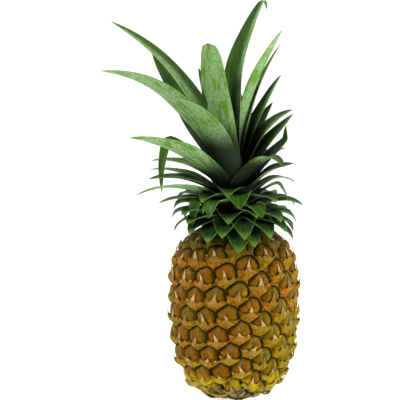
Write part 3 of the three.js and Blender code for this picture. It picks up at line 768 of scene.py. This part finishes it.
def build_leaves(leaves, first_number):
    built = [build_leaf(leaf, first_number + i) for i, leaf in enumerate(leaves)]
    points, faces, values, grains = zip(*built)
    starts = np.cumsum([0] + [len(p) for p in points[:-1]])
    faces = [f + start for f, start in zip(faces, starts)]
    joined = {key: np.concatenate([one[key] for one in values]) for key in values[0]}
    return np.concatenate(points), np.concatenate(faces), joined, np.concatenate(grains)


print("points of one leaf:", len(build_leaf(TALL_LEAVES[0], 0)[0]))

# %% [markdown]
# The stem of the crown is short and is hidden by the leaf feet. It only has to be there,
# so that no gap opens between two leaves. It is a turned shape, painted in the dark shade of
# the leaf feet.

# %% The stem of the crown
STEM_SIDES, STEM_FOOT_R, STEM_FOOT_Z = 48, 18.7, 160.3


def build_stem():
    steps = np.arange(174, 236, 6)
    z = np.concatenate([[STEM_FOOT_Z, STEM_FOOT_Z, 168], steps, [238]])
    r = np.concatenate([[0.5, STEM_FOOT_R, STEM_FOOT_R], stem_radius(steps) * 0.94, [0.4]])
    a = np.linspace(0, 2 * np.pi, STEM_SIDES, endpoint=False)
    r, z = r[:, None], z[:, None]
    points = np.stack([r * np.sin(a), -r * np.cos(a), z + 0 * a], -1).reshape(-1, 3)
    same = np.ones(len(points))
    # The whole stem counts as deep in the crown, so it takes the painted shade.
    values = dict(t=0.1 * same, bloom=0.7 * same, deep=same)
    return points, grid_faces(len(z), STEM_SIDES, closed=True), values


stem_points, stem_faces, stem_values = build_stem()
print("stem up to", stem_points[:, 2].max(), "mm")

# %% [markdown]
# Plant skin is painted in layers, as a painter would do it: a ground colour, then one colour
# after another laid over it where something says so. Each layer here is a colour and its
# places. A place is a value, or a ramp: what is measured, where the colour begins and where
# it is full, and sometimes how strong it is at both ends. Several places are multiplied.
# An image would give one fruit from one side. Layers give it from all sides.

# %% Layers of colour
def cover(tree, places):
    total = None
    for place in places:
        if isinstance(place, tuple):
            place = add_node(tree, "MapRange", place, interpolation_type="SMOOTHSTEP")
        total = place if total is None else add_node(tree, "Math", [total, place], operation="MULTIPLY")
    return total


def paint(tree, colour, layers):
    for over, *places in layers:
        factor = cover(tree, places)
        colour = add_node(tree, "Mix", {0: factor, 6: colour, 7: over}, out=2, data_type="RGBA")
    return colour


def place_in_mm(tree):
    place = add_node(tree, "TexCoord", out="Object")
    return add_node(tree, "VectorMath", {"Vector": place, "Scale": 1 / MM}, operation="SCALE")


# %% [markdown]
# Ripe rind is a leathery skin under a thin natural wax. The domes are brown with a green
# cast, greener at the rim that faces the crown and greyer along the crease. The net between
# them is the fleshy foot of the bracts: golden orange, yellow-green where ripening has not
# finished, and bright yellow low on the fruit, where it ripens first. The grooves and the
# creases between the eyes are painted nearly black as painted shade, and the domes' dark
# specks share that colour.

# %% The colours of the rind
DOME_BROWN, DOME_OLIVE, DOME_RUST, DOME_AMBER = "#7a4b00", "#665500", "#8a4b00", "#b07400"
DOME_RIM, PAINTED_DOME_SHADE, DOME_CREASE, GROOVE_SHADE_AND_SPECKS = "#3c460a", "#40280a", "#7c6638", "#1f1f08"
NET_GOLD, NET_ORANGE, NET_GREEN, NET_YELLOW = "#a47300", "#8a4800", "#647000", "#ad9600"
SHOULDER_GREEN_AND_SHADE, HALF_RIPE, BASE_GREY, BASE_DARK = "#36380f", "#7a7800", "#8d8462", "#3b3527"
BRACT_PAPER, BRACT_FIBRE = "#96763c", "#4a2f08"
# How many lie side by side on a centimetre: patches 7 mm wide, specks of 1.4 mm, and so on.
DOME_PATCHES, DOME_SPECKS, RIPE_FIELDS, NET_MOTTLES, JUICE_SPOTS = 1.4, 7, 0.35, 3.5, 6
YELLOW_PATCHES, WITHERED_PATCHES, WITHERED_MOTTLES = 0.5, 0.7, 2.2
# Bract fibres are a fifth of a millimetre thick. Drawn so fine they would be lost in the
# picture, so each line here stands for a bundle of them.
REAL_FIBRE, FIBRE_BUNDLES, ALONG_FIBRES = 0.2, 4.2, 0.3


def dome_colour(tree, place, at):
    patch, speck = (
        add_node(tree, "TexNoise", {"Vector": place, "Scale": per_cm / CM, "Detail": 4, "Roughness": rough})
        for per_cm, rough in ((DOME_PATCHES, 0.65), (DOME_SPECKS, 0.7))
    )
    off_middle = add_node(tree, "Math", [at["across"], at["across"]], operation="MULTIPLY")
    return paint(tree, DOME_BROWN, [
        (DOME_OLIVE, (at["eye_draw"], 0.3, 0.95)),
        (DOME_RUST, (patch, 0.52, 0.62, 0, 0.85)),
        (DOME_AMBER, (patch, 0.44, 0.36, 0, 0.7)),
        # Painted shade: each dome darkens towards the groove round it.
        (PAINTED_DOME_SHADE, (at["inset"], 3.2, 0.8, 0, 0.55)),
        (DOME_RIM, (at["inset"], 3.0, 0.8, 0, 0.6), (at["up"], 0, 5)),
        (DOME_CREASE, (off_middle, 9, 0), (at["up"], -2, 2), (at["eye_draw2"], 0.1, 0.9, 0.1, 0.7)),
        # Dark specks on the domes, in the same colour as the painted groove shade.
        (GROOVE_SHADE_AND_SPECKS, (speck, 0.48, 0.68, 0, 0.55)),
    ])


def fibres(tree, at):
    # Each eye reads its own place in the cloud, up to a metre off, so no two are alike.
    along = add_node(tree, "Math", [at["up"], ALONG_FIBRES], operation="MULTIPLY")
    apart = add_node(tree, "Math", [at["eye_draw"], 1000], operation="MULTIPLY")
    vector = add_node(tree, "CombineXYZ", [at["fan"], along, apart])
    inputs = {"Vector": vector, "Scale": FIBRE_BUNDLES / CM, "Detail": 3, "Roughness": 0.7}
    return add_node(tree, "TexNoise", inputs)


def net_colour(tree, place, at):
    height = add_node(tree, "SeparateXYZ", [place], out="Z")
    field, fine, spot = (
        add_node(tree, "TexNoise", {
            "Vector": place, "Scale": per_cm / CM, "Detail": detail, "Roughness": rough,
        })
        for per_cm, detail, rough in ((RIPE_FIELDS, 3, 0.55), (NET_MOTTLES, 4, 0.65), (JUICE_SPOTS, 4, 0.7))
    )
    lines = fibres(tree, at)
    return paint(tree, NET_ORANGE, [
        (NET_GOLD, (fine, 0.4, 0.62)),
        (NET_GREEN, (field, 0.44, 0.62, 0, 0.9), (fine, 0.62, 0.4)),
        (NET_YELLOW, (height, 80, 15), (fine, 0.58, 0.44, 0, 0.8)),
        (BRACT_PAPER, (at["below"], 4.5, 0.2), (lines, 0.48, 0.62, 0, 0.6)),
        (BRACT_FIBRE, (lines, 0.5, 0.38, 0, 0.75)),
        (BRACT_FIBRE, (spot, 0.5, 0.66, 0, 0.6)),
    ])


def ends_colour(tree, place, colour):
    # The right side ripened less, the shoulder is green with painted shade from the crown, the base is
    # ripest and withers first.
    right = add_node(tree, "SeparateXYZ", [place], out="X")
    height = add_node(tree, "SeparateXYZ", [place], out="Z")
    ripest, mottle, patch = (
        add_node(tree, "TexNoise", {"Vector": place, "Scale": per_cm / CM, "Detail": 3, "Roughness": 0.55})
        for per_cm in (YELLOW_PATCHES, WITHERED_MOTTLES, WITHERED_PATCHES)
    )
    withered = paint(tree, BASE_DARK, [(BASE_GREY, (mottle, 0.42, 0.58))])
    return paint(tree, colour, [
        (HALF_RIPE, (right, 0, 60, 0, 0.4), (height, 115, 70)),
        # Painted shade under the crown darkens the shoulder's own green.
        (SHOULDER_GREEN_AND_SHADE, (height, 132, 158, 0, 0.8)),
        (NET_YELLOW, (height, 32, 20, 0, 0.8), (ripest, 0.46, 0.52)),
        (withered, (height, 26, 8), (patch, 0.45, 0.55)),
    ])


print("a line of fibres stands for", round(CM / FIBRE_BUNDLES / REAL_FIBRE), "real ones")

# %% [markdown]
# The wax fills the skin's pores only in part, so the rind has a low, broken sheen and no
# clear reflection. Plant wax and dry fibre both have an index near 1.45. Real pores are a
# fifth of a millimetre wide and would vanish, so they are drawn as wide as they can be seen.

# %% The rind material
PORES = 11
PLANT_IOR = 1.45


def finish_skin(tree, colour, place, roughness, pore_depth):
    pores = add_node(tree, "TexNoise", {"Vector": place, "Scale": PORES / CM, "Detail": 3, "Roughness": 0.6})
    bump = add_node(tree, "Bump", {"Height": pores, "Strength": 0.6, "Distance": pore_depth * MM})
    rough = cover(tree, [(pores, 0.3, 0.7, roughness - 0.08, roughness + 0.1)])
    shader = add_node(tree, "BsdfPrincipled", {
        "Base Color": colour, "Normal": bump, "Roughness": rough,
        "IOR": PLANT_IOR, "Specular IOR Level": 0.05,
    })
    add_node(tree, "OutputMaterial", {"Surface": shader})


def rind_material():
    material, tree = new_material("waxed pineapple rind")
    place = place_in_mm(tree)
    at = {name: add_node(tree, "Attribute", out="Fac", attribute_name=name) for name in rind_values}
    off_dome = cover(tree, [(at["inset"], 0.1, -0.4)])
    outside = add_node(tree, "Math", [off_dome, at["skirt"]], operation="MAXIMUM")
    skin = paint(tree, dome_colour(tree, place, at), [(net_colour(tree, place, at), outside)])
    colour = paint(tree, ends_colour(tree, place, skin), [
        # Painted shade: the creases along the eye borders and the grooves round the domes are darkened.
        (GROOVE_SHADE_AND_SPECKS, (at["border"], 0.6, 0.15, 0, 0.7)),
        (GROOVE_SHADE_AND_SPECKS, (at["inset"], 1.1, 0.2), (at["inset"], -1.1, -0.3), (at["skirt"], 0.8, 0.2)),
    ])
    finish_skin(tree, colour, place, roughness=0.45, pore_depth=0.35)
    return material


rind_stuff = rind_material()
print(rind_stuff.name, len(rind_stuff.node_tree.nodes), "nodes")

# %% [markdown]
# The bract's foot is still fleshy and has the golden colour of the net. Upward it dries:
# brown fibres, then pale paper along its rim, then the straw-coloured spine with a browner
# point. Dry fibre scatters light widely, so it looks matt beside the waxed skin.

# %% The bract material
SPINE_STRAW, SPINE_POINT = "#b8a06a", "#64491f"
DRY_STREAKS = 8


def bract_material():
    material, tree = new_material("dry bract")
    place = place_in_mm(tree)
    at = {name: add_node(tree, "Attribute", out="Fac", attribute_name=name) for name in bract_values}
    streak_inputs = {"Vector": place, "Scale": DRY_STREAKS / CM, "Detail": 4, "Roughness": 0.7}
    streak = add_node(tree, "TexNoise", streak_inputs)
    off_middle = add_node(tree, "Math", [at["across"], at["across"]], operation="MULTIPLY")
    paper = cover(tree, [(off_middle, 22, 3), (at["up"], -8.6, -5.2), (streak, 0.62, 0.42)])
    foot = paint(tree, net_colour(tree, place, at), [
        (BRACT_FIBRE, (streak, 0.52, 0.7, 0, 0.7)),
        (BRACT_PAPER, paper, (at["eye_draw2"], 0, 1, 0.55, 1)),
    ])
    spine = paint(tree, SPINE_STRAW, [(SPINE_POINT, (at["eye_draw"], 0.45, 0.95, 0, 0.75))])
    colour = paint(tree, ends_colour(tree, place, foot), [
        (spine, (at["free"], 0.1, 0.35)),
        (SPINE_POINT, (at["free"], 0.6, 1)),
    ])
    finish_skin(tree, colour, place, roughness=0.6, pore_depth=0.3)
    return material


bract_stuff = bract_material()
print(bract_stuff.name, len(bract_stuff.node_tree.nodes), "nodes")

# %% [markdown]
# A leaf has two faces. The upper one is dark green with a satin wax, which gives it a long
# soft gleam. The lower one wears a pale grey-green bloom, a powder of wax that looks matt,
# rubbed off in long patches where the green shows again. Both carry fine lines that run
# from foot to tip. Real ones lie half a millimetre apart; here they lie a little wider, as
# the picture can't show them finer.

# %% The leaf material
LEAF_DEEP, LEAF_DARK, LEAF_MID = "#182c0a", "#2a480c", "#40661a"
LEAF_EDGE, LEAF_LOW_SHADE, LEAF_FOOT_SHADE, LEAF_DRY = "#6f9a38", "#16260f", "#161f12", "#7a5a30"
BLOOM_PALE, BLOOM_MID, BLOOM_RUBBED, BLOOM_LOW_SHADE = "#8eab7c", "#66884e", "#54801e", "#48604c"
LINE_WIDTH, LINE_LENGTH, RUB_WIDTH, RUB_LENGTH = 0.9, 70, 4, 18
BLOOM_SPOTS, RUB_FIELDS = 4.5, 0.5
LEAF_IOR = 1.42


def leaf_grain(tree, width, length, detail):
    grain = add_node(tree, "UVMap", uv_map="grain")
    stretched = add_node(tree, "Mapping", {"Vector": grain, "Scale": (1 / width, 1 / length, 1)})
    return add_node(tree, "TexNoise", {"Vector": stretched, "Scale": 1, "Detail": detail})


def leaf_colour(tree, at, lines):
    place = place_in_mm(tree)
    patches = leaf_grain(tree, RUB_WIDTH, RUB_LENGTH, 4)
    spots, field = (
        add_node(tree, "TexNoise", {"Vector": place, "Scale": per_cm / CM, "Detail": 3, "Roughness": rough})
        for per_cm, rough in ((BLOOM_SPOTS, 0.7), (RUB_FIELDS, 0.55))
    )
    off_middle = add_node(tree, "Math", [at["u"], at["u"]], operation="MULTIPLY")
    dark = paint(tree, LEAF_DARK, [
        (LEAF_MID, (lines, 0.42, 0.66)),
        (LEAF_DEEP, (patches, 0.55, 0.4, 0, 0.5)),
        # Painted shade: the collar leaves under the tall ones are darker, most towards their feet.
        (LEAF_LOW_SHADE, at["low"], (at["t"], 0.97, 0.6, 0.35, 0.85)),
    ])
    pale = paint(tree, BLOOM_MID, [
        (BLOOM_PALE, (spots, 0.35, 0.65)),
        (BLOOM_MID, (lines, 0.5, 0.7, 0, 0.3)),
        (BLOOM_RUBBED, (patches, 0.46, 0.58), (field, 0.4, 0.54)),
        (BLOOM_RUBBED, at["leaf_draw"], 0.2),
        # Painted shade: the collar leaves' bloom is darker too.
        (BLOOM_LOW_SHADE, at["low"], 0.8),
    ])
    # Painted shade: the leaves darken deep inside the crown and towards their feet.
    inside = cover(tree, [(at["deep"], 0, 0.9, 0, 0.96)])
    at_foot = cover(tree, [(at["t"], 0.3, 0.1, 0, 0.96)])
    shaded = add_node(tree, "Math", [inside, at_foot], operation="MAXIMUM")
    return paint(tree, dark, [
        (pale, at["bloom"]),
        (LEAF_EDGE, (off_middle, 0.9, 0.99, 0, 0.5), (at["t"], 0.25, 0.8, 0.5, 1)),
        (LEAF_EDGE, at["low"], (at["t"], 0.78, 0.97, 0, 0.4)),
        # The painted shade of the crown's inside and of the leaf feet.
        (LEAF_FOOT_SHADE, shaded),
        (LEAF_DRY, (at["t"], 0.985, 0.997)),
    ])


def leaf_material():
    material, tree = new_material("pineapple leaf")
    names = ("t", "u", "bloom", "leaf_draw", "low", "deep")
    at = {name: add_node(tree, "Attribute", out="Fac", attribute_name=name) for name in names}
    lines = leaf_grain(tree, LINE_WIDTH, LINE_LENGTH, 2)
    bump = add_node(tree, "Bump", {"Height": lines, "Strength": 0.3, "Distance": 0.35 * MM})
    shader = add_node(tree, "BsdfPrincipled", {
        "Base Color": leaf_colour(tree, at, lines), "Normal": bump, "IOR": LEAF_IOR,
        "Roughness": cover(tree, [(at["bloom"], 0, 1, 0.42, 0.6)]), "Specular IOR Level": 0.15,
    })
    add_node(tree, "OutputMaterial", {"Surface": shader})
    return material


leaf_stuff = leaf_material()
print(leaf_stuff.name, len(leaf_stuff.node_tree.nodes), "nodes")

# %% [markdown]
# The cut stalk end is woody: a pale pith, browner in patches, full of fibres that end as
# darker dots. A dry cut scatters light, so it looks dusty and matt. It lies under the fruit
# and is only seen from below, yet it is there.

# %% The stalk material
PITH_PALE, PITH_BROWN, FIBRE_END = "#c2ab78", "#a58a55", "#6d5430"
PITH_CLOUDS, FIBRE_DOTS = 1.2, 14


def stalk_material():
    material, tree = new_material("cut stalk")
    place = place_in_mm(tree)
    cloud, dots = (
        add_node(tree, "TexNoise", {
            "Vector": place, "Scale": per_cm / CM, "Detail": detail, "Roughness": rough,
        })
        for per_cm, detail, rough in ((PITH_CLOUDS, 3, 0.5), (FIBRE_DOTS, 2, 0.6))
    )
    colour = paint(tree, PITH_PALE, [(PITH_BROWN, (cloud, 0.35, 0.65)), (FIBRE_END, (dots, 0.56, 0.66))])
    finish_skin(tree, colour, place, roughness=0.8, pore_depth=0.4)
    return material


stalk_stuff = stalk_material()
print(stalk_stuff.name, len(stalk_stuff.node_tree.nodes), "nodes")

# %% [markdown]
# Now the pieces themselves. The frame's fruit and crown are hidden where the new pieces
# stand for them. The stalk keeps the frame's own shape.

# %% Put the pieces together
fruit_pieces = []
half = RIND_ROWS // 2
for name, low, high in (("rind_low", 0, half + 1), ("rind_high", half, RIND_ROWS)):
    part = slice(low * RIND_COLUMNS, high * RIND_COLUMNS)
    faces = grid_faces(high - low, RIND_COLUMNS, closed=True)
    values = {key: data[part] for key, data in rind_values.items()}
    piece = add_piece(name, rind_points[part], faces, values, rind_stuff)
    piece.data.normals_split_custom_set_from_vertices(rind_normals[part])
    fruit_pieces.append(piece)
fruit_pieces.append(add_piece("bracts", bract_points, bract_faces, bract_values, bract_stuff))
for piece in fruit_pieces:
    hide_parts("fruit")

crown = {"leaves_tall": TALL_LEAVES, "leaves_side": SIDE_LEAVES, "leaves_collar": COLLAR_LEAVES}
crown_pieces = []
first = 0
for name, leaves in crown.items():
    points, faces, values, grain = build_leaves(leaves, first)
    first += len(leaves)
    crown_pieces.append(add_piece(name, points, faces, values, leaf_stuff, grain))
stem = add_piece("crown_stem", stem_points, stem_faces, stem_values, leaf_stuff, stem_points[:, :2])
for piece in (*crown_pieces, stem):
    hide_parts("crown")

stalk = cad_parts["stalk"]
for place in stalk.material_slots:
    place.material = stalk_stuff

# %% [markdown]
# The fruit stands on a plain pale floor in a white studio. Matt paper has no gleam, and a
# little light of its own stands for the lamps that such a studio has under the table. The
# walls behind and beside the fruit are bright and the side of the camera is dimmer, so both
# flanks of the fruit get a light edge while its front stays deeper. One large soft lamp from
# the upper left gives the wax its highlights, and another from the right softens the shadows.

# %% Floor and light
WHITE, PAPER, PAPER_SHADE = "#ffffff", "#fbfbf9", "#f7f7f5"
FLOOR_SIZE, PAPER_CLOUDS, PAPER_GLOW = 3000, 0.5, 0.75
# Each lamp: its place, the point it looks at and its width, in mm, then its watts.
LAMPS = {
    "key": ((-800, -500, 1000), (0, 0, 180), 350, 13),
    "fill": ((1000, -300, 500), (0, 0, 160), 400, 12),
}


def add_floor():
    corners = [(-1, -1), (1, -1), (1, 2), (-1, 2)]
    mesh = bpy.data.meshes.new("floor")
    mesh.from_pydata([(x * FLOOR_SIZE * MM, y * FLOOR_SIZE * MM, 0) for x, y in corners], [], [[0, 1, 2, 3]])
    floor = bpy.data.objects.new("floor", mesh)
    scene.collection.objects.link(floor)
    material, tree = new_material("matt white paper")
    cloud = add_node(tree, "TexNoise", {
        "Vector": place_in_mm(tree), "Scale": PAPER_CLOUDS / CM, "Detail": 3, "Roughness": 0.55,
    })
    shader = add_node(tree, "BsdfPrincipled", {
        "Base Color": paint(tree, PAPER, [(PAPER_SHADE, cloud)]), "Roughness": 0.9,
        "Emission Color": WHITE, "Emission Strength": PAPER_GLOW,
    })
    add_node(tree, "OutputMaterial", {"Surface": shader})
    mesh.materials.append(material)


def add_lamp(name, place_mm, aim_mm, size_mm, watts):
    data = bpy.data.lights.new(name, "AREA")
    data.shape = "DISK"
    data.size = size_mm * MM
    data.energy = watts
    lamp = bpy.data.objects.new(name, data)
    place, aim = np.array(place_mm), np.array(aim_mm)
    lamp.location = place * MM
    x, y, z = (aim - place) / np.linalg.norm(aim - place)
    lamp.rotation_euler = (math.acos(-z), 0, math.atan2(-x, y))
    scene.collection.objects.link(lamp)


def studio_world():
    world = bpy.data.worlds.new("white studio")
    world.use_nodes = True
    tree = world.node_tree
    tree.nodes.clear()
    direction = add_node(tree, "TexCoord", out="Generated")
    depth = add_node(tree, "SeparateXYZ", [direction], out="Y")
    strength = cover(tree, [(depth, -0.1, 0.8, 0.1, 1.1)])
    background = add_node(tree, "Background", {"Color": WHITE, "Strength": strength})
    add_node(tree, "OutputWorld", {"Surface": background})
    scene.world = world


add_floor()
studio_world()
for name, numbers in LAMPS.items():
    add_lamp(name, *numbers)
scene.view_settings.view_transform = "Standard"
print("lamps:", list(LAMPS))
